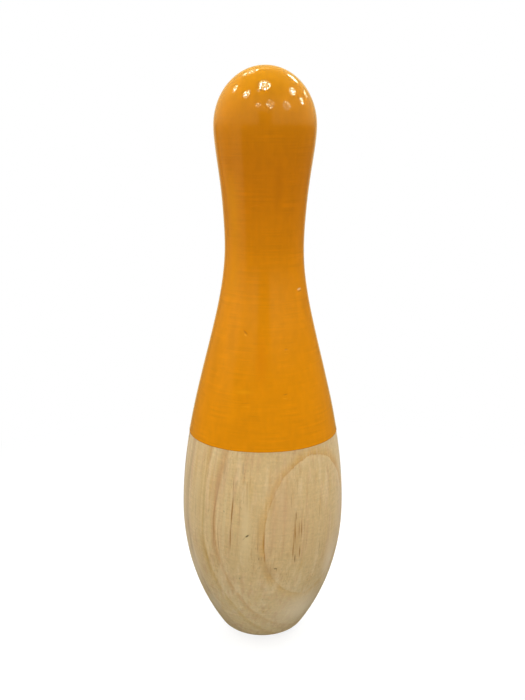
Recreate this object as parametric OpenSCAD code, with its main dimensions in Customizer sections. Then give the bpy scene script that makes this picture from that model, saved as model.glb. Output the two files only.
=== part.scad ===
// Wooden bowling pin: one turned solid, dipped head down in lacquer to just above the belly.
// Millimetres, +Z up. The origin is the centre of the base, on the floor.

/* [Base] */
// Diameter of the flat that the pin stands on
base_d = 30; // [24:0.5:36]
// Radius of the rounded edge round the flat
base_edge_r = 9; // [6:0.5:11]
// Diameter of the mark that the lathe's centre leaves in the base
centre_mark_d = 5; // [3:0.5:8]
// Depth of that mark
centre_mark_depth = 2.5; // [1:0.5:5]

/* [Belly] */
// Widest diameter of the pin
belly_d = 83.8; // [76:0.2:92]
// Height of the widest place above the floor
belly_h = 68; // [60:1:78]
// Radius of curvature just above the widest place
belly_round_r = 200; // [140:5:300]

/* [Neck] */
// Narrowest diameter of the neck
neck_d = 39; // [34:0.2:44]
// Height of the narrowest place above the belly's widest
neck_rise = 136; // [120:1:150]
// Radius of the hollow just under the narrowest place
neck_low_r = 92; // [70:2:140]
// Radius of the hollow just over the narrowest place
neck_high_r = 123; // [90:3:180]

/* [Head] */
// Widest diameter of the head
head_d = 49.6; // [46:0.2:56]
// Height of the head's widest place above the neck's narrowest
head_rise = 58; // [50:1:66]
// Radius of curvature just under the head's widest place
head_round_r = 46; // [34:1:70]
// Height of the crown above the head's widest place
crown_h = 27.8; // [24:0.2:32]

/* [Lacquer] */
// Thickness of the lacquer film
coat_t = 0.2; // [0.1:0.05:0.5]
// Height of the film's edge above the belly's widest place
coat_edge_rise = 42; // [25:1:70]

/* [Smoothness] */
// Longest step along the turned outline
outline_step = 2.5; // [1.5:0.5:4]

/* [Hidden] */

$fn = 144;

// Heights above the floor, each stacked on the one below
neck_h = belly_h + neck_rise;
head_h = neck_h + head_rise;
coat_edge_h = belly_h + coat_edge_rise;

// Lower belly: one arc that is upright at the widest place and runs smoothly into the rounded edge
belly_side = (belly_d - base_d) / 2;
belly_drop = belly_h - base_edge_r;
belly_low_r = (pow(belly_side, 2) + pow(belly_drop, 2) - pow(base_edge_r, 2))
    / (2 * (belly_side - base_edge_r));
belly_low_centre = [belly_d / 2 - belly_low_r, belly_h];
base_edge_centre = [base_d / 2, base_edge_r];

// Direction in which the rounded edge hands over to the belly's arc
base_join_angle = atan2(base_edge_centre[1] - belly_low_centre[1],
    base_edge_centre[0] - belly_low_centre[0]);

// Steps that keep a stretch of this length within outline_step
function steps(length) = max(4, ceil(length / outline_step));

// Every outline point is [radius, height, outward normal's radial part, its upward part].

// Round arc from angle a0 to a1
function arc(centre, r, a0, a1) =
    let (n = steps(r * abs(a1 - a0) * PI / 180))
    [for (i = [0 : n]) let (a = a0 + (a1 - a0) * i / n)
        [centre[0] + r * cos(a), centre[1] + r * sin(a), cos(a), sin(a)]];

// Turner's S-curve between two upright places: it leaves [r0, z0] with curvature k0 and
// arrives at [r1, z1] with curvature k1, where a hollow counts as positive. The stretch from
// share t0 of its height to share t1 is returned.
function s_curve(r0, z0, k0, r1, z1, k1, t0, t1) =
    let (h = z1 - z0, n = steps(h * (t1 - t0)))
    [for (i = [0 : n]) let (
        t = t0 + (t1 - t0) * i / n,
        u = 1 - t,
        rise = pow(t, 3) * (10 - 15 * t + 6 * t * t),
        start_bend = pow(t, 2) * pow(u, 3) / 2,
        end_bend = pow(t, 3) * pow(u, 2) / 2,
        slope = ((r1 - r0) * 30 * pow(t * u, 2)
            + k0 * h * h * (t * pow(u, 3) - 1.5 * pow(t * u, 2))
            + k1 * h * h * (1.5 * pow(t * u, 2) - pow(t, 3) * u)) / h)
        [r0 + (r1 - r0) * rise + h * h * (k0 * start_bend + k1 * end_bend),
         z0 + h * t, 1 / norm([1, slope]), -slope / norm([1, slope])]];

// Crown: a quarter of an ellipse, from the head's widest place to its top
function crown() =
    let (n = steps((head_d / 2 + crown_h) * 0.8))
    [for (i = [0 : n]) let (
        a = 90 * i / n,
        normal = [cos(a) * crown_h, sin(a) * head_d / 2])
        [head_d / 2 * cos(a), head_h + crown_h * sin(a),
         normal[0] / norm(normal), normal[1] / norm(normal)]];

// Shoulder between shares t0 and t1 of the way from belly to neck
function shoulder(t0, t1) = s_curve(belly_d / 2, belly_h, -1 / belly_round_r,
    neck_d / 2, neck_h, 1 / neck_low_r, t0, t1);

// Stretches without their last point, so that the next one can begin there
function open_end(points) = [for (i = [0 : len(points) - 2]) points[i]];

// Share of the shoulder that lies under the film's edge
coat_edge_share = coat_edge_rise / neck_rise;

bare_outline = concat(
    open_end(arc(base_edge_centre, base_edge_r, -90, base_join_angle)),
    open_end(arc(belly_low_centre, belly_low_r, base_join_angle, 0)),
    open_end(shoulder(0, coat_edge_share)));

coated_outline = concat(
    open_end(shoulder(coat_edge_share, 1)),
    open_end(s_curve(neck_d / 2, neck_h, 1 / neck_high_r,
        head_d / 2, head_h, -1 / head_round_r, 0, 1)),
    crown());

// Where the outline stands at a distance t outside the wood
function at_depth(points, t) = [for (p = points) [p[0] + t * p[2], p[1] + t * p[3]]];

// The whole pin in wood, from the lathe's mark in its base to its crown
module turned_body() {
    color("burlywood")
    rotate_extrude()
    polygon(concat([[0, centre_mark_depth], [centre_mark_d / 2, 0]],
        at_depth(bare_outline, 0), at_depth(coated_outline, 0)));
}

// The film on the head, neck and shoulder, as thick everywhere, lying on the wood
module lacquer_coat() {
    outer = at_depth(coated_outline, coat_t);
    inner = at_depth(coated_outline, 0);
    color("darkorange")
    rotate_extrude()
    polygon(concat(inner, [for (i = [len(outer) - 1 : -1 : 0]) outer[i]]));
}

turned_body();
lacquer_coat();
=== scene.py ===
import bpy
import numpy as np
from mathutils import Euler, Matrix, Vector


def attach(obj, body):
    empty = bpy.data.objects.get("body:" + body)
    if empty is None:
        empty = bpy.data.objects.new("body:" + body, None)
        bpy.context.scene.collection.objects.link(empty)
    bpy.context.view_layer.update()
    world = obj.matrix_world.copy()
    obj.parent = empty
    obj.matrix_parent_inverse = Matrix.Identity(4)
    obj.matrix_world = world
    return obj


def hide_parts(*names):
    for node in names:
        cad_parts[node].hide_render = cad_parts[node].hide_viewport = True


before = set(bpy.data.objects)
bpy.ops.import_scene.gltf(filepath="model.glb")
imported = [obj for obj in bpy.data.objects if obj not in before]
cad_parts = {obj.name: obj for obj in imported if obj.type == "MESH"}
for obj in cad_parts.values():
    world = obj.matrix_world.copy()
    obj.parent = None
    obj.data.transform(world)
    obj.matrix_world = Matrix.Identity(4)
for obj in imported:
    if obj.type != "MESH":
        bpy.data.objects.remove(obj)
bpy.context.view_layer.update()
print("frame loaded:", sorted(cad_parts))

mm = 0.001

# The outline as it comes off the lathe, and the film that it is dipped in
pin = dict(
    flatRadius=15.0,        # what the pin stands on
    edgeRadius=9.0,         # rounding round that flat
    centreRadius=2.5,       # cone that the lathe's centre leaves in the base
    centreDepth=2.5,
    bellyRadius=41.9,
    bellyHeight=68.0,
    bellyBend=-1 / 200,     # curvature just above the belly, hollow counts as positive
    neckRadius=19.5,
    neckHeight=204.0,
    neckBendUnder=1 / 92,
    neckBendOver=1 / 123,
    headRadius=24.8,
    headHeight=262.0,
    headBend=-1 / 46,
    crownRise=27.8,
    filmThickness=0.2,
    filmEdge=109.7,         # height of the film's edge
    filmTilt=0.39,          # the edge is this much higher at the right than at the middle
)

# Points along each stretch of the outline
outlineSteps = dict(edge=200, belly=1200, shoulder=2400, neck=1200, crown=900)


def sCurve(r0, z0, bend0, r1, z1, bend1, count):
    # r = r0 + (r1 - r0) t^3 (10 - 15 t + 6 t^2) + h^2 (bend0 t^2 u^3 + bend1 t^3 u^2) / 2,
    # z = z0 + h t, with t from 0 to 1, u = 1 - t and h the height of the stretch
    t = np.linspace(0, 1, count)
    u, h = 1 - t, z1 - z0
    r = r0 + (r1 - r0) * t**3 * (10 - 15 * t + 6 * t**2)
    return r + h * h * (bend0 * t**2 * u**3 + bend1 * t**3 * u**2) / 2, z0 + h * t


def roundArc(centreR, centreZ, radius, start, end, count):
    # r = centreR + radius cos(a), z = centreZ + radius sin(a), with a from start to end
    a = np.linspace(start, end, count)
    return centreR + radius * np.cos(a), centreZ + radius * np.sin(a)


def turnedOutline(p, steps):
    # flat, rounded edge, belly arc, shoulder, neck to head, and a quarter of an ellipse, end to end;
    # the belly's arc is upright at the widest place and touches the rounded edge
    side, drop = p["bellyRadius"] - p["flatRadius"], p["bellyHeight"] - p["edgeRadius"]
    lowRadius = (side**2 + drop**2 - p["edgeRadius"] ** 2) / (2 * (side - p["edgeRadius"]))
    lowCentre = p["bellyRadius"] - lowRadius
    join = np.arctan2(p["edgeRadius"] - p["bellyHeight"], p["flatRadius"] - lowCentre)
    quarter = np.linspace(0, np.pi / 2, steps["crown"])
    stretches = [
        (np.array([p["centreRadius"], p["flatRadius"]]), np.zeros(2)),
        roundArc(p["flatRadius"], p["edgeRadius"], p["edgeRadius"], -np.pi / 2, join, steps["edge"]),
        roundArc(lowCentre, p["bellyHeight"], lowRadius, join, 0, steps["belly"]),
        sCurve(p["bellyRadius"], p["bellyHeight"], p["bellyBend"],
               p["neckRadius"], p["neckHeight"], p["neckBendUnder"], steps["shoulder"]),
        sCurve(p["neckRadius"], p["neckHeight"], p["neckBendOver"],
               p["headRadius"], p["headHeight"], p["headBend"], steps["neck"]),
        (p["headRadius"] * np.cos(quarter), p["headHeight"] + p["crownRise"] * np.sin(quarter)),
    ]
    r = np.append(p["centreRadius"], np.concatenate([s[0][1:] for s in stretches]))
    z = np.append(0, np.concatenate([s[1][1:] for s in stretches]))
    gap = np.hypot(np.diff(r), np.diff(z))
    length = p["centreRadius"] + np.append(0, np.cumsum(gap))
    return length, r, z


outLength, outRadius, outHeight = turnedOutline(pin, outlineSteps)
outNormalR = np.gradient(outHeight, outLength)
outNormalZ = -np.gradient(outRadius, outLength)
crownLength = outLength[-1]
edgeLength = np.interp(pin["filmEdge"], outHeight, outLength)


def onOutline(s):
    # radius, height and the outward direction at length s along the outline, from the base's middle
    return [np.interp(s, outLength, column) for column in (outRadius, outHeight, outNormalR, outNormalZ)]


def lengthAt(z):
    return np.interp(z, outHeight, outLength)


def crowded(low, high, count, places, reach, crowding, samples=8001):
    # positions from low to high whose density is 1 + crowding * sum of exp(-((x - place) / reach)^2)
    x = np.linspace(low, high, samples)
    density = 1 + crowding * np.exp(-(((x[:, None] - np.asarray(places)) / reach) ** 2)).sum(1)
    share = np.append(0, np.cumsum((density[1:] + density[:-1]) / 2))
    return np.interp(np.linspace(0, share[-1], count), share, x)


def risen(distance, over):
    # 0 at no distance, rising evenly to 1 over this much
    return np.clip(distance / over, 0, 1)


def pressedIn(turn, z, marks):
    # how deep the marks sit at each point: deep * exp(-(a^2 + b^2)^2), where a and b are the distances
    # across and along the mark, over its half width and half length
    depth = np.zeros(np.broadcast(turn, z).shape)
    for m in marks:
        r = np.interp(m["height"], outHeight, outRadius)
        right, up = np.radians(turn - m["turn"]) * r, z - m["height"]
        lean = np.radians(m["lean"])
        across = (right * np.cos(lean) - up * np.sin(lean)) / (m["wide"] / 2)
        along = (right * np.sin(lean) + up * np.cos(lean)) / (m["long"] / 2)
        depth += m["deep"] * np.exp(-((across**2 + along**2) ** 2))
    return depth


def slowWaves(turn, z, seed, lobes, climb, count=9):
    # sum of sines of (around * angle + rise * height + phase), scaled to about -1 to 1, where around is
    # a whole number up to lobes and rise lies between -climb and climb
    random = np.random.default_rng(seed)
    total = 0
    for _ in range(count):
        around = random.integers(0, lobes + 1)
        total = total + np.sin(around * np.radians(turn) + random.uniform(-climb, climb) * z
                               + random.uniform(0, 2 * np.pi))
    return total / np.sqrt(count / 2) / 2


def turnedSkin(name, r, z, turn):
    # closed surface x = r sin(turn), y = -r cos(turn): rows run along the outline, columns round the pin,
    # and the first and last rows are points on the axis
    a = np.radians(turn)[None, :]
    grid = np.stack([r * np.sin(a), -r * np.cos(a), z + 0 * a], axis=-1)
    rows, columns = grid.shape[:2]
    points = np.vstack([grid[1:-1].reshape(-1, 3), grid[0].mean(0), grid[-1].mean(0)]) * mm
    here = np.arange((rows - 2) * columns).reshape(rows - 2, columns)
    right = np.roll(here, -1, axis=1)
    quads = np.stack([here[:-1], right[:-1], right[1:], here[1:]], axis=-1).reshape(-1, 4)
    first, last = len(points) - 2, len(points) - 1
    startFan = np.stack([np.full(columns, first), right[0], here[0]], axis=-1)
    endFan = np.stack([here[-1], right[-1], np.full(columns, last)], axis=-1)
    mesh = bpy.data.meshes.new(name)
    mesh.from_pydata(points.tolist(), [], quads.tolist() + startFan.tolist() + endFan.tolist())
    mesh.polygons.foreach_set("use_smooth", np.ones(len(mesh.polygons), bool))
    mesh.update()
    piece = bpy.data.objects.new(name, mesh)
    bpy.context.scene.collection.objects.link(piece)
    print(name, "has", len(mesh.polygons), "faces")
    return piece


def mark(turn, height, long, wide, dark=0, colour=(0, 0, 0), lean=0, deep=0, through=3, soft=0.75):
    # turn is degrees to the right of the front, height is above the floor, and lean is degrees to the right
    # of upright. long and wide are its size along that lean and across it, and deep is how far it is
    # pressed in. dark is how strongly its colour shows, through is how far that reaches into the piece,
    # more on tall marks since the skin curves, and soft is the share of the mark over which it fades out.
    return dict(turn=turn, height=height, long=long, wide=wide, dark=dark, colour=colour,
                lean=lean, deep=deep, through=through, soft=soft)


# Dents, stains and streaks in the bare wood, and pale patches of painted light low at the sides: turn,
# height, length, breadth, strength and colour
woodMarks = dict(
    yellowLeft=mark(-50.0, 84.0, 60, 14, 0.40, (213, 187, 134), lean=3, through=6, soft=1),
    tanInside=mark(14.0, 82.0, 58, 20, 0.40, (212, 173, 130), lean=5, through=6, soft=1),
    poreHaze=mark(23.5, 65.0, 36, 8, 0.40, (192, 148, 92), soft=1),
    paleMiddle=mark(-11.5, 70.0, 84, 8.5, 0.75, (227, 204, 150), soft=1),
    paleLeft=mark(-26.5, 78.0, 50, 3.0, 0.55, (222, 199, 148), lean=4, soft=1),
    paleFarLeft=mark(-38.5, 72.0, 56, 3.0, 0.50, (220, 198, 144), lean=2, soft=1),
    resinLineUpper=mark(-21.0, 79.5, 23, 1.2, 0.85, (162, 106, 42), lean=3.5),
    resinLineTop=mark(-20.6, 93.0, 13, 0.8, 0.50, (174, 118, 58), lean=1),
    resinLineLower=mark(-22.2, 65.5, 18, 1.1, 0.78, (166, 106, 44), lean=2.0),
    slantNick=mark(-10.4, 67.8, 2.7, 1.1, 0.95, (84, 68, 36), lean=50, deep=0.35),
    nickTail=mark(-12.6, 66.3, 2.4, 0.6, 0.35, (140, 112, 70), lean=45),
    flatNick=mark(9.2, 50.0, 2.6, 0.9, 0.85, (104, 82, 44), lean=94, deep=0.25),
    poreLineA=mark(22.4, 70.5, 20, 0.8, 0.90, (164, 102, 38)),
    poreLineB=mark(23.3, 77.4, 7, 0.8, 0.75, (154, 104, 48)),
    poreLineC=mark(27.3, 70.0, 14, 0.8, 0.70, (164, 110, 52)),
    poreLineD=mark(21.5, 66.0, 14, 0.7, 0.60, (172, 116, 56)),
    poreLineE=mark(21.3, 59.3, 12, 0.8, 0.80, (166, 104, 40)),
    poreLineF=mark(25.4, 70.5, 12, 0.7, 0.65, (166, 108, 50)),
    poreLineG=mark(42.5, 77.0, 9, 0.6, 0.50, (156, 112, 66)),
    poreLineH=mark(43.5, 57.5, 12, 0.9, 0.40, (168, 120, 80)),
    poreLineI=mark(17.5, 91.0, 9, 0.5, 0.35, (162, 118, 70)),
    poreLineJ=mark(29.5, 73.0, 15, 0.5, 0.40, (166, 120, 70)),
    poreLineK=mark(23.0, 54.8, 6, 0.9, 0.85, (148, 104, 56)),
    poreLineL=mark(26.3, 57.6, 10, 0.9, 0.85, (160, 100, 40)),
    poreLineM=mark(19.7, 85.5, 11, 0.7, 0.40, (166, 122, 76)),
    limbDash=mark(-0.8, 56.0, 4, 0.7, 0.50, (150, 104, 58)),
    limbDashHigh=mark(-3.3, 62.0, 7, 0.8, 0.45, (168, 124, 76)),
    streakA=mark(-33.5, 84.0, 36, 1.3, 0.55, (180, 130, 86), lean=9),
    streakB=mark(-35.6, 68.0, 30, 1.0, 0.60, (178, 128, 78), lean=2),
    streakC=mark(-31.6, 63.0, 24, 0.8, 0.55, (180, 130, 80), lean=-3),
    streakD=mark(-15.5, 80.0, 22, 0.7, 0.35, (184, 140, 84)),
    streakE=mark(-10.5, 88.0, 20, 1.1, 0.35, (188, 146, 96)),
    loopCore=mark(1.0, 65.0, 17, 1.1, 0.70, (178, 118, 56), lean=2),
    loopRed=mark(1.5, 56.5, 8, 0.9, 0.60, (180, 112, 56), lean=1),
    poreSpot=mark(-2.3, 56.0, 2.4, 0.7, 0.60, (140, 96, 54), lean=5),
    brownBand=mark(-3.0, 69.0, 32, 1.8, 0.35, (184, 142, 92), lean=1, soft=1),
    lowStain=mark(4.5, 49.0, 20, 7.5, 0.50, (186, 144, 96), lean=-28, soft=1),
    topStripeA=mark(-14.0, 101.5, 10, 1.3, 0.45, (178, 140, 110)),
    topStripeB=mark(-28.0, 100.0, 15, 1.8, 0.45, (180, 140, 98), lean=3),
    tanPatch=mark(-33.0, 92.0, 30, 5.0, 0.55, (194, 154, 110), lean=4, soft=1),
    ochreLeft=mark(-44.6, 80.0, 50, 2.6, 0.55, (184, 148, 88), soft=1),
    kneeStain=mark(6.5, 83.0, 20, 3.4, 0.40, (196, 154, 92), lean=14, soft=1),
    # pale patches on the low sides: paler wood with painted light over it, and on the left side painted light
    # only
    paleAndLitLowRight=mark(40.0, 20.0, 36, 44, 0.72, (238, 212, 170), through=20, soft=1),
    paleAndLitSideRight=mark(59.0, 46.0, 44, 18, 0.72, (234, 208, 166), lean=-6, through=8, soft=1),
    paintedLightSideLeft=mark(-62.0, 40.0, 38, 15, 0.55, (234, 208, 164), lean=10, through=8, soft=1),
    paleAndLitLowLeft=mark(-50.0, 21.0, 24, 14, 0.45, (230, 208, 168), lean=12, through=8, soft=1),
    sideBand=mark(-54.0, 76.0, 30, 2.0, 0.35, (184, 148, 106), soft=1),
    greySpotA=mark(-16.5, 43.6, 1.8, 1.2, 0.45, (128, 114, 84), lean=20),
    greySpotB=mark(-27.0, 79.0, 1.6, 1.0, 0.45, (128, 110, 80), lean=-10),
)

body = dict(
    columns=330,
    bareRows=250,
    coveredRows=46,
    coneRows=6,
    columnCrowd=(2.2, 5),   # columns crowd within so many degrees of a dent, and how much closer they stand
    rowCrowd=(2.0, 2.5),    # the same for rows, in millimetres
    underFilm=2,            # the bare wood's rows go on this far under the film
    inset=0.035,            # how far the skin keeps inside the construction's outline
    wobble=0.05,            # hand sanding leaves the wood this much out of round
    wobbleWaves=(4, 5, 0.05),   # seed, most waves round the pin, and radians to a millimetre along it
    fromFlat=6,             # both grow to their full size over this length from the flat
    fromCrown=10,           # and over this length from the crown
    shrink=0.03,            # clearance under the film
    shrinkRun=3,            # length over which it begins
)


def turnedBody():
    # wood from the cone in its base to its crown: the outline, moved in along its own normals by the dents,
    # a slow wobble and small clearances
    dents = [m for m in woodMarks.values() if m["deep"]]
    turn = crowded(-180, 180, body["columns"] + 1, [m["turn"] for m in dents], *body["columnCrowd"])[:-1]
    top = edgeLength + body["underFilm"]
    places = [lengthAt(m["height"]) for m in dents] + [pin["flatRadius"]]
    bare = crowded(pin["centreRadius"], top, body["bareRows"], places, *body["rowCrowd"])
    covered = np.linspace(top, crownLength, body["coveredRows"] + 1)[1:]
    s = np.append(bare, covered)[:, None]
    r, z, nr, nz = onOutline(s)
    free = risen(s - pin["flatRadius"], body["fromFlat"]) * risen(crownLength - s, body["fromCrown"])
    waves = (1 + slowWaves(turn[None, :], z, *body["wobbleWaves"])) / 2
    inward = pressedIn(turn[None, :], z, dents) + free * (body["wobble"] * waves + body["inset"])
    inward = inward + body["shrink"] * risen(s - top, body["shrinkRun"])
    cone = np.linspace(0, 1, body["coneRows"], endpoint=False)[:, None] + 0 * turn[None, :]
    r = np.vstack([pin["centreRadius"] * cone, r - inward * nr])
    z = np.vstack([pin["centreDepth"] * (1 - cone), z - inward * nz])
    r[-1], z[-1] = 0, z[-1].mean()
    return turnedSkin("turnedBody", r, z, turn)


# Dents, chips and scratches in the lacquer, patches of colour, and painted light, shade and reflection, given
# in the same order
lacquerMarks = dict(
    # painted shade and light: darker and lighter patches where light falls less or more on the left shoulder,
    # the neck and the head
    paintedShadeShoulderLeft=mark(-53, 145, 66, 10, 0.40, (206, 126, 0), lean=-4, through=14, soft=1),
    paintedLightShoulderLeft=mark(-27, 131, 38, 9, 0.36, (239, 150, 2), lean=-4, through=8, soft=1),
    paintedShadeNeckLeft=mark(-37, 164, 34, 7, 0.32, (204, 124, 0), through=7, soft=1),
    shadeHeadRight=mark(17, 236, 60, 8, 0.42, (190, 108, 0), soft=1),
    paintedLightHeadLeft=mark(-61, 238, 60, 9, 0.45, (226, 136, 8), soft=1),
    sideChip=mark(53.5, 184.9, 4.4, 1.4, 0.75, (242, 204, 140), lean=84, deep=0.17),
    chipShade=mark(54.0, 184.0, 4.2, 0.7, 0.55, (140, 84, 22), lean=84),
    # the dark colours in the dents and nicks are painted shade, and the gleams beside them painted highlights
    slantDent=mark(-20.3, 165.4, 4.0, 1.2, 0.62, (182, 100, 4), lean=-50, deep=0.14),
    slantGleam=mark(-20.1, 164.2, 2.2, 1.2, 0.50, (252, 180, 50), lean=-60),
    lowNick=mark(23.5, 157.6, 3.0, 0.9, 0.50, (188, 110, 6), lean=90, deep=0.10),
    lowGleam=mark(23.0, 155.6, 3.6, 0.8, 0.35, (240, 162, 24), lean=92),
    softPress=mark(25, 151, 5, 3, lean=60, deep=0.06),
    shoulderPress=mark(-10, 137.5, 8, 2.2, lean=75, deep=0.07),
    shoulderNick=mark(19, 136.6, 3.4, 0.9, 0.55, (188, 110, 6), lean=82, deep=0.10),
    shoulderGleam=mark(18.5, 134.7, 3.4, 0.9, 0.40, (244, 168, 34), lean=98),
    # painted light on a pressed patch, then painted shade and a painted highlight along its lower edge
    paintedLightPress=mark(-17, 137.6, 13, 3.0, 0.45, (240, 162, 12), lean=87, soft=1),
    arcLow=mark(-14.5, 132.6, 7, 0.9, 0.35, (198, 116, 4), lean=84),
    arcLower=mark(-14.5, 131.0, 7, 0.8, 0.35, (244, 168, 30), lean=88),
    archLeft=mark(-16.0, 225.2, 6.0, 0.7, lean=76, deep=0.06),
    archRight=mark(-5.5, 225.2, 6.0, 0.7, lean=104, deep=0.06),
    headTick=mark(3.0, 268.0, 3.0, 0.7, 0.30, (168, 92, 6), lean=4, deep=0.05),
    # painted reflection: a long paler, yellower band down the left of the neck and head, where the pale room
    # mirrors
    paintedReflectionLeft=mark(-47, 226, 200, 14, 0.50, (222, 144, 2), soft=1),
    redMiddle=mark(-2.5, 152, 44, 9, 0.32, (214, 118, 0), through=7, soft=1),
    brownSide=mark(60, 176, 90, 7, 0.35, (196, 116, 6), soft=1),
    brownLineLeft=mark(-61, 225, 90, 4, 0.30, (186, 106, 6), soft=1),
)

film = dict(
    columns=200,
    rows=360,
    innerRows=40,
    columnCrowd=(3.0, 3),   # as on the wood
    rowCrowd=(1.6, 2.5),
    edgeCrowd=6,            # the edge draws as many rows as so many dents
    lip=0.22,               # height over which the film's edge rounds off
    lipRows=(0, 0.05, 0.18, 0.38, 0.65),    # rows on that rounding, as shares of its height
    bead=0.05,              # how much thicker it dries just above its edge
    beadRise=0.7,
    edgeWave=0.07,          # the edge isn't quite level: it follows the grain a little
    edgeSines=[(0.5, 3, 0.7), (0.35, 8, 2.1), (0.3, 19, 0.0), (0.25, 47, 1.0)],  # share, waves round, phase
    edgeReach=12,           # the rows above are level again this far up
    wobble=0.022,
    wobbleWaves=(9, 6, 0.35),
    fromEdge=3,             # dents and wobble grow to their full size over this length from the edge
    fromCrown=12,           # and the wobble over this length from the crown
)


def edgeShift(turn):
    # the film's edge rises with the sine of the angle to the right, and wavers by small sines
    a = np.radians(turn)
    waver = sum(share * np.sin(waves * a + phase) for share, waves, phase in film["edgeSines"])
    return pin["filmTilt"] * np.sin(a) + film["edgeWave"] * waver


def lacquerCoat():
    # closed shell: from the crown down the outside, which is the outline moved out along its own normals,
    # then round the lip, and up the wood to the crown again
    dents = [m for m in lacquerMarks.values() if m["deep"]]
    turn = crowded(-180, 180, film["columns"] + 1, [m["turn"] for m in dents], *film["columnCrowd"])[:-1]
    shift = edgeShift(turn)[None, :]
    places = [lengthAt(m["height"]) for m in dents] + [edgeLength] * film["edgeCrowd"]
    up = crowded(edgeLength, crownLength, film["rows"], places, *film["rowCrowd"])
    up = np.append(edgeLength + film["lip"] * np.array(film["lipRows"]), up[1:])
    s = np.unique(np.round(up, 4))[:, None]     # no two rows in one place
    above = s - edgeLength
    r, z, nr, nz = onOutline(s + shift * (1 - risen(above, film["edgeReach"])) ** 2)
    rounded = np.sqrt(1 - (1 - risen(above, film["lip"])) ** 2)
    bead = film["bead"] * np.exp(-(((above - film["beadRise"]) / film["beadRise"]) ** 2))
    waves = film["wobble"] * (slowWaves(turn[None, :], z, *film["wobbleWaves"]) - 1)
    uneven = waves * risen(crownLength - s, film["fromCrown"]) - pressedIn(turn[None, :], z, dents)
    lift = rounded * (pin["filmThickness"] + bead) + uneven * risen(above, film["fromEdge"])
    r, z = (r + lift * nr)[::-1], (z + lift * nz)[::-1]
    r[0], z[0] = 0, z[0].mean()
    inner = np.linspace(0, 1, film["innerRows"])[1:, None]
    innerS = edgeLength + inner * (crownLength - edgeLength) + shift * (1 - inner) ** 2
    innerR, innerZ = onOutline(innerS)[:2]
    innerR[-1], innerZ[-1] = 0, pin["headHeight"] + pin["crownRise"]
    return turnedSkin("lacquerCoat", np.vstack([r, innerR]), np.vstack([z, innerZ]), turn)


def shade(red, green, blue):
    # a colour as it is seen, 0 to 255, to the values that nodes take
    c = np.array([red, green, blue]) / 255
    return (*np.where(c < 0.04045, c / 12.92, ((c + 0.055) / 1.055) ** 2.4).tolist(), 1)


def emptied(owner):
    # the node tree of a material, a lamp or the world, with nothing in it
    owner.use_nodes = True
    owner.node_tree.nodes.clear()
    return owner.node_tree


def add(tree, kind, feeds=None, **settings):
    # one node: feeds gives each input a value or another node's output
    node = tree.nodes.new("ShaderNode" + kind)
    for key, value in settings.items():
        setattr(node, key, value)
    for key, value in (feeds or {}).items():
        if isinstance(value, bpy.types.NodeSocket):
            tree.links.new(value, node.inputs[key])
        else:
            node.inputs[key].default_value = value
    return node


def calc(tree, operation, *values):
    return add(tree, "Math", dict(enumerate(values)), operation=operation).outputs[0]


def times(tree, product, *factors):
    for factor in factors:
        product = calc(tree, "MULTIPLY", product, factor)
    return product


def part(tree, vector, axis):
    return add(tree, "SeparateXYZ", {0: vector}).outputs[axis]


def lengthOf(tree, vector):
    return add(tree, "VectorMath", {0: vector}, operation="LENGTH").outputs["Value"]


def scaled(tree, vector, x, y, z):
    return add(tree, "VectorMath", {0: vector, 1: (x, y, z)}, operation="MULTIPLY").outputs[0]


def noise(tree, place, across, along, detail=2.0, roughness=0.5):
    return add(tree, "TexNoise", {"Vector": scaled(tree, place, across, across, along), "Scale": 1.0,
                                  "Detail": detail, "Roughness": roughness}).outputs[0]


def noises(tree, place, table):
    # noise from 0 to 1 by name, each from its steps to a millimetre across and along, detail and roughness
    return {name: noise(tree, place, *values) for name, values in table.items()}


def ramped(tree, value, low, high, start=0.0, end=1.0):
    # start at low, end at high, an S-shaped step between
    return add(tree, "MapRange", {"Value": value, "From Min": low, "From Max": high, "To Min": start,
                                  "To Max": end}, interpolation_type="SMOOTHSTEP").outputs[0]


def varied(tree, tone, waves, spreads):
    # tone times a factor from 1 - spread / 2 to 1 + spread / 2 for each wave, as that goes from 0 to 1
    for name, spread in spreads.items():
        tone = times(tree, tone, calc(tree, "MULTIPLY_ADD", waves[name], spread, 1 - spread / 2))
    return tone


def blended(tree, factor, first, second, kind="MIX"):
    return add(tree, "Mix", {0: factor, 6: first, 7: second}, data_type="RGBA", blend_type=kind).outputs[2]


def markMask(tree, place, m):
    # 1 inside a spindle laid on the skin at the mark's place and lean, 0 outside
    r = np.interp(m["height"], outHeight, outRadius)
    a = np.radians(m["turn"])
    spot = (r * np.sin(a) * mm, -r * np.cos(a) * mm, m["height"] * mm)
    size = (m["wide"] / 2 * mm, m["through"] * mm, m["long"] / 2 * mm)
    local = add(tree, "Mapping", {"Vector": place, "Location": spot, "Scale": size,
                                  "Rotation": (0, np.radians(m["lean"]), a)}, vector_type="TEXTURE")
    return ramped(tree, lengthOf(tree, local.outputs[0]), 1.0, 1.0 - m["soft"])


def painted(tree, colour, place, marks):
    # each mark that shows, one over the other
    for m in marks.values():
        if m["dark"]:
            mask = times(tree, markMask(tree, place, m), m["dark"])
            colour = blended(tree, mask, colour, shade(*m["colour"]))
    return colour


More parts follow.
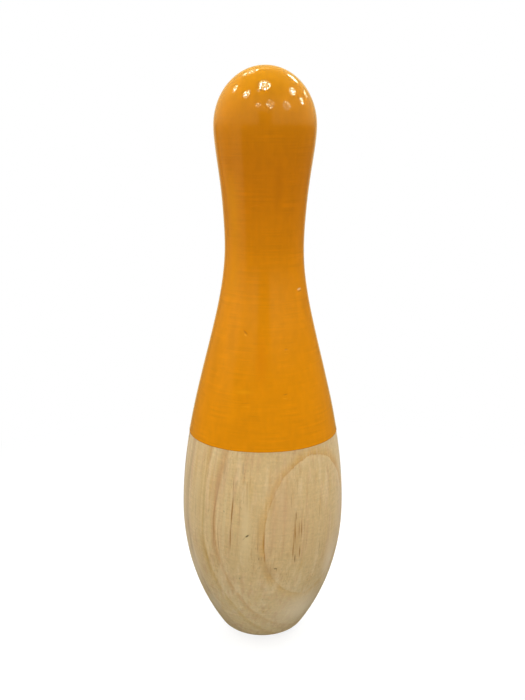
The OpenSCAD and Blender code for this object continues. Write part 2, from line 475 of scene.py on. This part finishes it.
# The tree that the blank was cut from: where its pith runs, its rings outward from there, and its grain
timber = dict(
    pith=(-20.0, 22.0, 64.0),
    pithLean=(-0.86, 3.83, 0.0),    # degrees about X and Y
    straw=(204, 175, 124),          # the wood between its rings
    span=80.0,                      # the rings are given out to here
    rings=[     # radius, breadth of the darker late wood, its colour, and the paler wood after it
        (8.0, 2.2, (182, 145, 94), (206, 180, 132)),
        (18.0, 2.4, (180, 143, 92), (206, 180, 132)),
        (28.0, 2.4, (182, 145, 94), (206, 180, 132)),
        (37.0, 2.6, (182, 146, 96), (206, 180, 132)),
        (43.9, 4.0, (182, 152, 110), (206, 180, 134)),
        (52.4, 2.4, (190, 150, 82), (214, 189, 138)),
        (56.9, 1.9, (194, 150, 98), (212, 187, 138)),
    ],
    ringSteps=(0.3, 0.5, 2.4),      # darkest this far inside a ring, palest and straw again this far outside
    wander=dict(slow=0.9, ragged=0.25),     # how far a ring strays from a true circle with each noise
    ringShown=(0.25, 0.7, 0.55, 1.0),       # noise where they are faint and where they are full, and how much
    # an oval where the belly bulges through one more ring: its middle, lean, width, height, and how many
    # metres nearer than the axis it has to be to show fully
    oval=dict(turn=38.0, height=69.0, lean=4.5, wide=50.0, tall=74.0, fadeIn=0.01),
    ovalWander=dict(slow=2.25, ragged=0.6),
    ovalShown=(0.36, 0.60, 0.35, 1.0),
    # millimetres outside the oval where a tone begins and is full, coming from outside and from inside
    ovalTones=[
        ((4.4, 0.2), (-0.5, 0.2), 0.85, (198, 154, 88)),
        ((0.2, -0.5), (-4.5, -1.2), 0.24, (216, 192, 146)),
        ((0.5, 0.0), (-0.5, 0.0), 0.35, (178, 124, 60)),
    ],
    streaks=[   # steps across and along, noise where a streak begins and is full, strength, colour
        (0.42, 0.020, 0.48, 0.74, 0.58, (194, 152, 110)),
        (0.55, 0.022, 0.46, 0.24, 0.46, (198, 160, 98)),
        (0.30, 0.014, 0.50, 0.28, 0.48, (216, 192, 146)),
    ],
    noises=dict(                    # steps to a millimetre across and along, then detail and roughness
        slow=(1 / 14, 1 / 45),
        ragged=(1.2, 0.12),
        rings=(1 / 16, 1 / 30, 1),
        oval=(1 / 12, 1 / 20),
        bundle=(0.11, 0.018, 1),
        line=(1.3, 0.07),
        glint=(1.1, 0.09),
        fibre=(2.0, 0.16, 3, 0.65),
        mottle=(0.8, 0.7, 3),
        sanding=(0.14, 1.1, 3, 0.6),
        cloud=(0.05, 0.03, 1),
    ),
    bundleAt=(0.45, 0.68),          # noise where a bundle of fibres begins and is full
    line=(176, 126, 72),            # fine brown lines
    lineAt=(0.52, 0.70),
    lineAlone=0.06,                 # how strong they are outside the bundles, and what a bundle adds
    lineBundled=0.34,
    glint=(222, 200, 158),          # and pale ones: where they begin and are full, and how strong they are
    glintAt=(0.46, 0.28, 0.0, 0.20),
    pore=(138, 98, 54),
    poreStrength=0.6,
    poreCells=(1.6, 0.32),          # steps to a millimetre across and along
    poreSize=(0.30, 0.08),          # a pore's rim and its middle, in cells
    poreChosen=(0.55, 0.95),        # most cells have no pore
    poreAlone=0.3,
    poreBundled=0.7,
    level=1.12,                     # how light the wood is in all
    fibre=0.20,                     # how much the fibres and the broader noises lighten and darken it
    variation=dict(mottle=0.28, sanding=0.26, cloud=0.08),
    markRagged=0.5,                 # millimetres that the marks' edges are broken up by
    relief=0.025,                   # height of the raised grain
    lineSunk=0.5,                   # share of that by which the brown lines lie lower
    grainRise=(0.020, 0.060, 0.45, 1.0),    # metres up from the foot over which each grows to its full share
    ringRise=(0.018, 0.050, 0.50, 1.0),
    ovalRise=(0.026, 0.052, 0.45, 1.0),
    floorLightRise=(0.060, 0.012),         # from here down to here the painted light from the floor comes in
    floorLightAtFoot=(1.11, 1.19, 1.32),    # painted light bounced from the white floor: how much lighter and bluer the foot is
    sheenRise=(0.020, 0.070, 0.02, 0.25),   # gloss of the loose fibres along the edges, at the foot and above
)


def strayed(tree, distance, waves, reach):
    # each wave, as it goes from 0 to 1, moves the distance from its reach less to its reach more
    for name, far in reach.items():
        distance = calc(tree, "MULTIPLY_ADD", waves[name], 2 * far, calc(tree, "SUBTRACT", distance, far))
    return distance


def ringColours(tree, outward):
    # the colour darkens slowly outward and turns pale soon after each ring
    span, straw = timber["span"], shade(*timber["straw"])
    darkest, palest, over = timber["ringSteps"]
    ramp = add(tree, "ValToRGB", {0: calc(tree, "DIVIDE", outward, span)})
    stops = ramp.color_ramp.elements
    stops[0].position, stops[0].color = 0.0, straw
    stops[1].position, stops[1].color = 1.0, straw
    for radius, breadth, late, after in timber["rings"]:
        for where, colour in ((radius - breadth, straw), (radius - darkest, shade(*late)),
                              (radius + palest, shade(*after)), (radius + over, straw)):
            stops.new(where / span).color = colour
    return ramp.outputs["Color"]


def ringedWood(tree, trunk, height, waves):
    # straw with its growth rings
    fromPith = lengthOf(tree, scaled(tree, trunk, 1, 1, 0))
    rings = ringColours(tree, strayed(tree, fromPith, waves, timber["wander"]))
    shown = times(tree, ramped(tree, waves["rings"], *timber["ringShown"]),
                  ramped(tree, height, *timber["ringRise"]))
    return blended(tree, shown, shade(*timber["straw"]), rings)


def fromOval(tree, place, oval):
    # millimetres outward from an oval as it is seen from the side it faces, and 1 on that side of the pin
    local = add(tree, "Mapping", {
        "Vector": place, "Location": (0, 0, oval["height"] * mm),
        "Scale": (oval["wide"] / 2 * mm, 1, oval["tall"] / 2 * mm),
        "Rotation": (0, np.radians(oval["lean"]), np.radians(oval["turn"]))},
        vector_type="TEXTURE").outputs[0]
    size = (oval["wide"] + oval["tall"]) / 4
    facing = ramped(tree, part(tree, local, "Y"), 0.0, -oval["fadeIn"])
    return calc(tree, "MULTIPLY_ADD", lengthOf(tree, local), size, -size), facing


def withOval(tree, colour, place, height, waves):
    # the oval's line: dark up to it from outside, and pale just inside
    gap, facing = fromOval(tree, place, timber["oval"])
    gap = strayed(tree, gap, waves, timber["ovalWander"])
    shown = times(tree, facing, ramped(tree, height, *timber["ovalRise"]),
                  ramped(tree, waves["oval"], *timber["ovalShown"]))
    for outside, inside, strength, tint in timber["ovalTones"]:
        mask = times(tree, ramped(tree, gap, *outside), ramped(tree, gap, *inside), shown, strength)
        colour = blended(tree, mask, colour, shade(*tint))
    return colour


def withStreaks(tree, colour, trunk):
    # broad streaks drawn out along the trunk
    for across, along, low, high, strength, tint in timber["streaks"]:
        streak = ramped(tree, noise(tree, trunk, across, along, detail=3), low, high)
        colour = blended(tree, times(tree, streak, strength), colour, shade(*tint))
    return colour


def poreMask(tree, trunk, bundle):
    # short pores along the fibres, in some of the cells only, and more of them in the bundles
    across, along = timber["poreCells"]
    cells = add(tree, "TexVoronoi", {"Vector": scaled(tree, trunk, across, across, along), "Scale": 1.0})
    chosen = add(tree, "SeparateColor", {0: cells.outputs["Color"]}).outputs[0]
    return times(tree, ramped(tree, cells.outputs["Distance"], *timber["poreSize"]),
                 ramped(tree, chosen, *timber["poreChosen"]),
                 calc(tree, "MULTIPLY_ADD", bundle, timber["poreBundled"], timber["poreAlone"]))


def bareWood():
    material = bpy.data.materials.new("bareWood")
    tree = emptied(material)
    place = add(tree, "TexCoord").outputs["Object"]
    height = part(tree, place, "Z")
    trunk = add(tree, "Mapping", {
        "Vector": place, "Location": tuple(mm * v for v in timber["pith"]),
        "Rotation": tuple(np.radians(timber["pithLean"])), "Scale": (mm, mm, mm)},
        vector_type="TEXTURE").outputs[0]
    waves = noises(tree, trunk, timber["noises"])
    full = ramped(tree, height, *timber["grainRise"])
    bundle = ramped(tree, waves["bundle"], *timber["bundleAt"])
    colour = ringedWood(tree, trunk, height, waves)
    colour = withOval(tree, colour, place, height, waves)
    colour = withStreaks(tree, colour, trunk)
    # fine lines: brown ones, which gather in the bundles, and pale ones
    line = ramped(tree, waves["line"], *timber["lineAt"])
    strength = calc(tree, "MULTIPLY_ADD", bundle, timber["lineBundled"], timber["lineAlone"])
    colour = blended(tree, times(tree, strength, line, full), colour, shade(*timber["line"]))
    glint = ramped(tree, waves["glint"], *timber["glintAt"])
    colour = blended(tree, times(tree, glint, full), colour, shade(*timber["glint"]))
    # lighter and darker by the fibres and by broader noises
    tone = calc(tree, "MULTIPLY_ADD", calc(tree, "SUBTRACT", waves["fibre"], 0.5),
                times(tree, full, timber["fibre"]), timber["level"])
    tone = varied(tree, tone, waves, timber["variation"])
    colour = add(tree, "HueSaturation", {"Color": colour, "Value": tone}).outputs[0]
    pore = poreMask(tree, trunk, bundle)
    colour = blended(tree, times(tree, pore, timber["poreStrength"]), colour, shade(*timber["pore"]))
    # the marks, with ragged edges, and then the painted floor light on the foot
    rag = timber["markRagged"] * mm
    shaken = add(tree, "VectorMath", {0: calc(tree, "SUBTRACT", waves["ragged"], 0.5), 1: (rag, rag, 0),
                                      2: place}, operation="MULTIPLY_ADD").outputs[0]
    colour = painted(tree, colour, shaken, woodMarks)
    # painted light: the foot is made lighter and bluer, as if lit from the white floor
    footLit = ramped(tree, height, *timber["floorLightRise"])
    colour = blended(tree, footLit, colour, (*timber["floorLightAtFoot"], 1), "MULTIPLY")
    raised = calc(tree, "MULTIPLY_ADD", line, -timber["lineSunk"], waves["fibre"])
    bump = add(tree, "Bump", {"Height": calc(tree, "SUBTRACT", raised, pore),
                              "Distance": timber["relief"] * mm, "Strength": 0.8})
    surface = add(tree, "BsdfPrincipled", {
        "Base Color": colour, "Roughness": calc(tree, "MULTIPLY_ADD", waves["fibre"], 0.22, 0.52),
        "IOR": 1.45, "Specular IOR Level": 0.06,
        "Sheen Weight": ramped(tree, height, *timber["sheenRise"]), "Sheen Roughness": 0.4,
        "Sheen Tint": (0.80, 0.92, 1.0, 1), "Normal": bump.outputs[0]})
    add(tree, "OutputMaterial", {"Surface": surface.outputs[0]})
    return material


lacquer = dict(
    shadeAndLightByHeight=[             # colour by height, with painted shade and light: darker toward the neck and under the head, and lighter again up the crown: height and colour
        (0.110, (227, 141, 0)),
        (0.155, (226, 140, 0)),
        (0.185, (222, 136, 0)),
        (0.215, (214, 127, 0)),
        (0.242, (206, 119, 0)),
        (0.262, (207, 124, 0)),
        (0.276, (212, 132, 0)),
        (0.292, (228, 153, 0)),
    ],
    edge=(184, 116, 10),    # painted shade along the film's very edge, under its bead
    edgeShadeBand=(0.55, 0.15, 0.0, 0.5),    # it comes in from here down to here above the edge, this strong
    edgeRadius=36,          # of the pin where the edge is
    noises=dict(            # steps to a millimetre across and along, then detail and roughness
        lines=(0.035, 1 / 1.3, 3, 0.65),    # the lathe's lines under the film, 1.3 mm apart
        patch=(0.09, 0.12, 1),              # patches in which they show
        cloud=(0.05, 0.03),
        mottle=(0.30, 0.22, 3),
        grain=(0.6, 0.015),                 # the wood's, showing through
        peel=(0.35, 0.25, 3, 0.55),
    ),
    patchAt=(0.42, 0.64, 0.20, 1.25),
    linesFade=(254, 276, 1.0, 0.15),    # the lines are fainter over the crown
    lines=0.30,             # how much they and the broader noises lighten and darken it
    variation=dict(cloud=0.12, mottle=0.16, grain=0.07),
    lineRelief=0.06,        # millimetres
    peelRelief=0.028,
)


def byHeight(tree, height, stops, top=0.3):
    # colour against height above the floor, in metres
    ramp = add(tree, "ValToRGB", {0: calc(tree, "DIVIDE", height, top)})
    ramp.color_ramp.interpolation = "B_SPLINE"
    elements = ramp.color_ramp.elements
    elements[0].position, elements[0].color = stops[0][0] / top, shade(*stops[0][1])
    elements[1].position, elements[1].color = stops[-1][0] / top, shade(*stops[-1][1])
    for where, colour in stops[1:-1]:
        elements.new(where / top).color = shade(*colour)
    return ramp.outputs["Color"]


def turningLines(tree, spot, waves):
    # rings left by the lathe's tool, from -0.5 to 0.5, patchy all over
    patch = ramped(tree, waves["patch"], *lacquer["patchAt"])
    onCrown = ramped(tree, part(tree, spot, "Z"), *lacquer["linesFade"])
    return times(tree, calc(tree, "SUBTRACT", waves["lines"], 0.5), times(tree, patch, onCrown))


def glossLacquer():
    material = bpy.data.materials.new("glossLacquer")
    tree = emptied(material)
    place = add(tree, "TexCoord").outputs["Object"]
    spot = scaled(tree, place, 1 / mm, 1 / mm, 1 / mm)
    waves = noises(tree, spot, lacquer["noises"])
    lines = turningLines(tree, spot, waves)
    tone = calc(tree, "MULTIPLY_ADD", lines, lacquer["lines"], 1.0)
    tone = varied(tree, tone, waves, lacquer["variation"])
    # the lacquer's colour by height carries painted shade under the head and painted light on the crown
    colour = byHeight(tree, part(tree, place, "Z"), lacquer["shadeAndLightByHeight"])
    colour = add(tree, "HueSaturation", {"Color": colour, "Value": tone}).outputs[0]
    # level is height, measured square to the tilted edge
    level = add(tree, "VectorMath", {0: spot, 1: (-pin["filmTilt"] / lacquer["edgeRadius"], 0, 1)},
                operation="DOT_PRODUCT").outputs["Value"]
    # painted shade: a darker band just above the film's edge, under its bead
    edgeShadeMask = ramped(tree, calc(tree, "SUBTRACT", level, pin["filmEdge"]), *lacquer["edgeShadeBand"])
    colour = blended(tree, edgeShadeMask, colour, shade(*lacquer["edge"]))
    colour = painted(tree, colour, place, lacquerMarks)
    height = calc(tree, "MULTIPLY_ADD", lines, lacquer["lineRelief"],
                  times(tree, waves["peel"], lacquer["peelRelief"]))
    bump = add(tree, "Bump", {"Height": height, "Distance": mm, "Strength": 1.0})
    surface = add(tree, "BsdfPrincipled", {
        "Base Color": colour, "Roughness": calc(tree, "MULTIPLY_ADD", waves["cloud"], 0.04, 0.025),
        "IOR": 1.5, "Specular IOR Level": 0.5, "Normal": bump.outputs[0]})
    add(tree, "OutputMaterial", {"Surface": surface.outputs[0]})
    return material


def dress(piece, material, node):
    piece.data.materials.append(material)
    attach(piece, "root")
    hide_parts(node)


dress(turnedBody(), bareWood(), "turned_body")
dress(lacquerCoat(), glossLacquer(), "lacquer_coat")
print("pin built")

studio = dict(
    floorRadius=0.40,       # metres
    floorColour=(128, 128, 126),
    floorFade=(0.06, 0.36), # from here to here, in metres from the pin, the floor turns into the backdrop
    floorLift=0.84,         # what it adds to its own light at the pin, to meet the backdrop
    floorMirrored=0.30,     # share of that light which the lacquer mirrors
    ambient=0.03,
    lampDistance=1.5,       # metres from the pin
    sparkAim=0.265,         # height that the small lamps aim at
)

# Big soft lamps that light the pin: degrees to the right of the camera's side, degrees up, degrees across,
# metres away, the height that they aim at, and the watts that they would take at the lamps' usual distance
softLamps = dict(
    over=(-5, 78, 45, 1.5, 0.15, 1.0),
    softFrontLeft=(-65, 43, 40, 1.5, 0.15, 6.4),
    softFrontRight=(80, 54, 40, 1.5, 0.15, 10.6),
    softLeft=(-110, 37, 40, 0.6, 0.18, 19.4),
    softRight=(125, 27, 40, 0.6, 0.26, 17.0),
    softBack=(180, 40, 45, 1.5, 0.15, 9.2),
    softFrontLow=(4, 0, 40, 1.5, 0.15, 16.0),
)

# Small ceiling lamps that only sparkle in the lacquer: the same two angles, degrees wide and tall, how many
# times brighter than white they glow, and how full the middle of their ring is
sparkLamps = dict(
    overhead=(-7.5, 75.2, 24, 26, 45, 1.0),
    backLeft=(-155.3, 49.4, 20, 18, 11, 1.0),
    backRight=(148.0, 37.2, 14, 12, 32, 1.0),
    back=(177.2, 50.4, 3, 6, 7, 1.0),
    backBeside=(-176.0, 50.2, 3, 6, 5, 1.0),
    right=(95.0, 45.3, 21, 12, 42, 1.0),
    rightLow=(104.2, 27.6, 13, 8, 30, 1.0),
    backRightLow=(135.5, 24.2, 10, 6, 19, 1.0),
    left=(-113.0, 41.6, 16, 8, 28, 1.0),
    frontLeft=(-61.0, 49.0, 16, 16, 44, 1.0),
    frontLeftLow=(-17.5, 34.0, 10, 9, 29, 0.45),
    front=(13.0, 36.0, 17, 16, 18, 0.30),
    frontRight=(53.5, 30.4, 19, 15, 20, 0.30),
    frontHigh=(-25.9, 61.0, 8, 7, 16, 1.0),
)

# Each of them is a ring filled with small bright beads. Lengths are shares of the lamp's half width.
beads = dict(
    cells=3.0,              # to a half width
    scatter=0.7,
    glow=(0.48, 0.15, 0.1, 2.2),    # from a bead's rim to its middle, in cells, and from dim to bright
    ring=0.78,
    ringBreadth=0.20,
    middle=(0.75, 0.45),
    colour=(0.78, 1.0, 0.78, 1),
    first=14.6,             # where the first lamp lies in the pattern, and how much further on each next one
    next=3.7,
)


def hangLamp(name, spot, aim, width, height, watts, matt, gloss):
    light = bpy.data.lights.new(name, "AREA")
    light.shape, light.size, light.size_y, light.energy = "ELLIPSE", width, height, watts
    lamp = bpy.data.objects.new(name, light)
    lamp.location = spot
    lamp.rotation_euler = (Vector(aim) - Vector(spot)).to_track_quat("-Z", "Y").to_euler()
    lamp.visible_camera, lamp.visible_diffuse, lamp.visible_glossy = False, matt, gloss
    bpy.context.scene.collection.objects.link(lamp)
    return light


def lampPlace(aim, turn, lift, away):
    a, e = np.radians((turn, lift))
    return aim + away * np.array([np.sin(a) * np.cos(e), -np.cos(a) * np.cos(e), np.sin(e)])


def acrossAt(degrees, away):
    return 2 * away * np.tan(np.radians(degrees) / 2)


def beaded(light, full, shift):
    # across runs from -1 to 1 over the lamp's width and height
    tree = emptied(light)
    across = add(tree, "Mapping", {"Vector": add(tree, "NewGeometry").outputs["Parametric"],
                                   "Location": (-1, -1, 0), "Scale": (2, 2, 0)}).outputs[0]
    shifted = add(tree, "VectorMath", {0: across, 1: (shift, shift, 0)}, operation="ADD").outputs[0]
    fromBead = add(tree, "TexVoronoi", {"Vector": shifted, "Scale": beads["cells"],
                                        "Randomness": beads["scatter"]}).outputs["Distance"]
    out = lengthOf(tree, across)
    fromRing = calc(tree, "ABSOLUTE", calc(tree, "SUBTRACT", out, beads["ring"]))
    shape = calc(tree, "ADD", ramped(tree, fromRing, beads["ringBreadth"], 0.0),
                 ramped(tree, out, *beads["middle"], 0.0, full))
    pattern = times(tree, shape, ramped(tree, fromBead, *beads["glow"]))
    glow = add(tree, "Emission", {"Color": beads["colour"], "Strength": pattern})
    add(tree, "OutputLight", {"Surface": glow.outputs[0]})


def lightStudio():
    usual = studio["lampDistance"]
    for name, (turn, lift, across, away, aimHeight, watts) in softLamps.items():
        aim, size = np.array([0, 0, aimHeight]), acrossAt(across, away)
        light = hangLamp(name, lampPlace(aim, turn, lift, away), aim, size, size,
                         watts * (away / usual) ** 2, True, False)
        light.cycles.use_multiple_importance_sampling = False   # else it still shows faintly in the gloss
    aim = np.array([0, 0, studio["sparkAim"]])
    for number, (name, (turn, lift, wide, tall, glow, full)) in enumerate(sparkLamps.items()):
        width, height = acrossAt(wide, usual), acrossAt(tall, usual)
        watts = glow * np.pi * (np.pi / 4 * width * height)     # pi times the ellipse's area
        light = hangLamp(name, lampPlace(aim, turn, lift, usual), aim, width, height, watts, False, True)
        beaded(light, full, beads["first"] + beads["next"] * number)


def seenDirectly(tree, mirrored=1.0):
    # 1 for what the camera or a clear piece sees, mirrored for a reflection, 0 for the light on things
    rays = add(tree, "LightPath").outputs
    either = calc(tree, "MAXIMUM", rays["Is Camera Ray"], times(tree, rays["Is Glossy Ray"], mirrored))
    return calc(tree, "MAXIMUM", either, rays["Is Transmission Ray"])


def circle(radius, count=128):
    # x = radius cos(a), y = radius sin(a)
    a = np.linspace(0, 2 * np.pi, count, endpoint=False)
    return np.stack([radius * np.cos(a), radius * np.sin(a)], axis=-1)


def staged(name, mesh, material):
    mesh.materials.append(material)
    thing = bpy.data.objects.new(name, mesh)
    bpy.context.scene.collection.objects.link(thing)
    return thing


def paleFloor():
    # a disc that is matt round the pin and fades into the white backdrop
    rim = circle(studio["floorRadius"])
    mesh = bpy.data.meshes.new("floor")
    mesh.from_pydata(np.c_[rim, np.zeros(len(rim))].tolist(), [], [list(range(len(rim)))])
    material = bpy.data.materials.new("paleFloor")
    material.cycles.emission_sampling = "NONE"
    tree = emptied(material)
    fade = ramped(tree, lengthOf(tree, add(tree, "TexCoord").outputs["Object"]), *studio["floorFade"])
    matt = add(tree, "BsdfDiffuse", {
        "Color": blended(tree, fade, shade(*studio["floorColour"]), (0, 0, 0, 1))})
    rise = calc(tree, "MULTIPLY_ADD", fade, 1 - studio["floorLift"], studio["floorLift"])
    seen = seenDirectly(tree, studio["floorMirrored"])
    lift = add(tree, "Emission", {"Strength": times(tree, seen, rise)})
    both = add(tree, "AddShader", {0: matt.outputs[0], 1: lift.outputs[0]})
    add(tree, "OutputMaterial", {"Surface": both.outputs[0]})
    staged("floor", mesh, material)


# The room that the lacquer mirrors, as shares of white. Its places are parts of a direction of length 1:
# right is x, behind is y and up is z.
room = dict(
    colour=(1.0, 0.94, 0.50),       # cream walls
    low=0.20,                       # tables and floor, in front and at the sides
    high=0.74,                      # walls and ceiling above the horizon
    horizon=(0.0, 0.03, 0.54),      # from here up to here it takes this share of the step from low to high
    brighter=(0.05, 0.12, 0.46),    # and the rest from here to here
    zenith=(0.60, 0.90, 0.30),      # toward the zenith it loses this much
    leftWall=(0.76, 0.82, 0.34),    # a paler wall far at the left, seen under the horizon
    leftEnd=(-0.25, 0.05, 1.0, 0.5),    # which is only half as pale behind the pin
    gap=(0.30, 0.20),               # something dark stands in front: its half width
    gapTop=(0.44, 0.36),            # and its height
    gapFront=(0.1, -0.1),           # it is only in front of the pin
    backdrop=(0.70, 0.92, 0.72),    # the backdrop begins here, is full here, and this bright
    backFade=(0.20, 0.60, 1.0, 0.45),   # it darkens upward
    backEdge=(0.90, 0.99),          # and turns paler right behind
    backColour=(1.0, 0.90, 0.64, 1),
    near=0.165,                     # metres to the low things that stand about the pin
    nearTop=(0.162, 0.233),         # they thin out between these heights
    nearLeft=(0.11, 0.20),          # and the pale wall comes in beyond them between these
)


def stepped(tree, value, step):
    # 0 up to the step's first place, and its height from the second on
    low, high, rise = step
    return ramped(tree, value, low, high, 0.0, rise)


def roomColour(tree, way, above, leftShown=1.0):
    # what the lacquer mirrors that way, where above goes from 0 under the horizon to 1 high over it
    x, y, z = add(tree, "SeparateXYZ", {0: way}).outputs
    low, high = room["low"], room["high"]
    level = calc(tree, "MULTIPLY_ADD", above, high - low, low)
    level = calc(tree, "SUBTRACT", level, stepped(tree, z, room["zenith"]))
    leftward = times(tree, stepped(tree, calc(tree, "MULTIPLY", x, -1), room["leftWall"]),
                     ramped(tree, y, *room["leftEnd"]), leftShown)
    level = calc(tree, "MULTIPLY_ADD", leftward, calc(tree, "SUBTRACT", 1.0, above), level)
    standing = times(tree, ramped(tree, calc(tree, "ABSOLUTE", x), *room["gap"]),
                     ramped(tree, z, *room["gapTop"]), ramped(tree, y, *room["gapFront"]))
    level = calc(tree, "SUBTRACT", level, times(tree, standing, calc(tree, "SUBTRACT", level, low)))
    backdrop = times(tree, stepped(tree, y, room["backdrop"]), ramped(tree, z, *room["backFade"]))
    level = calc(tree, "MAXIMUM", level, backdrop)
    walls = scaled(tree, add(tree, "CombineXYZ", {0: level, 1: level, 2: level}).outputs[0], *room["colour"])
    return blended(tree, ramped(tree, y, *room["backEdge"]), walls, room["backColour"])


def nearThings():
    # an upright band round the pin that only shows in the gloss
    ring = circle(room["near"])
    count = len(ring)
    foot, top = np.c_[ring, np.zeros(count)], np.c_[ring, np.full(count, room["nearTop"][1])]
    here, after = np.arange(count), np.roll(np.arange(count), -1)
    mesh = bpy.data.meshes.new("nearThings")
    mesh.from_pydata(np.vstack([foot, top]).tolist(), [],
                     np.stack([here + count, after + count, after, here], axis=-1).tolist())
    material = bpy.data.materials.new("nearThings")
    material.cycles.emission_sampling = "NONE"
    tree = emptied(material)
    place = add(tree, "TexCoord").outputs["Object"]
    height = part(tree, place, "Z")
    way = scaled(tree, place, 1 / room["near"], 1 / room["near"], 0)
    colour = roomColour(tree, way, 0.0, ramped(tree, height, *room["nearLeft"]))
    seen, clear = add(tree, "Emission", {"Color": colour}), add(tree, "BsdfTransparent")
    thin = ramped(tree, height, *room["nearTop"])
    mixed = add(tree, "MixShader", {0: thin, 1: seen.outputs[0], 2: clear.outputs[0]})
    add(tree, "OutputMaterial", {"Surface": mixed.outputs[0]})
    band = staged("nearThings", mesh, material)
    band.visible_camera = band.visible_diffuse = band.visible_shadow = False


def whiteSurround():
    # white to the camera, the room to the lacquer, and a plain level of light on the pin
    world = bpy.data.worlds.new("studio")
    tree = emptied(world)
    world.cycles.sampling_method = "NONE"
    way = add(tree, "TexCoord").outputs["Generated"]
    rise = part(tree, way, "Z")
    above = calc(tree, "ADD", stepped(tree, rise, room["horizon"]), stepped(tree, rise, room["brighter"]))
    direct = add(tree, "LightPath").outputs["Is Camera Ray"]
    seen = add(tree, "Background", {
        "Color": blended(tree, direct, roomColour(tree, way, above), (1, 1, 1, 1))})
    light = add(tree, "Background", {"Color": (1, 1, 1, 1), "Strength": studio["ambient"]})
    mixed = add(tree, "MixShader", {0: seenDirectly(tree), 1: light.outputs[0], 2: seen.outputs[0]})
    add(tree, "OutputWorld", {"Surface": mixed.outputs[0]})
    bpy.context.scene.world = world


# The photograph's view: a camera 435 mm in front of the pin at the head's height, looking slightly down
viewPoint = dict(place=(-0.57, -435.0, 254.3), down=13.33, roll=0.37, lens=45.11, sensor=36, nearest=0.01)


def photographView():
    lens = bpy.data.cameras.new("camera")
    lens.lens, lens.sensor_width = viewPoint["lens"], viewPoint["sensor"]
    lens.clip_start = viewPoint["nearest"]
    camera = bpy.data.objects.new("camera", lens)
    turned = Euler((np.radians(90 - viewPoint["down"]), 0, 0)).to_matrix() @ Matrix.Rotation(
        np.radians(viewPoint["roll"]), 3, "Z")
    camera.matrix_world = Matrix.Translation(Vector(viewPoint["place"]) * mm) @ turned.to_4x4()
    bpy.context.scene.collection.objects.link(camera)
    bpy.context.scene.camera = camera


lightStudio()
paleFloor()
nearThings()
whiteSurround()
photographView()
bpy.context.scene.view_settings.view_transform = "Standard"
print("studio lit")
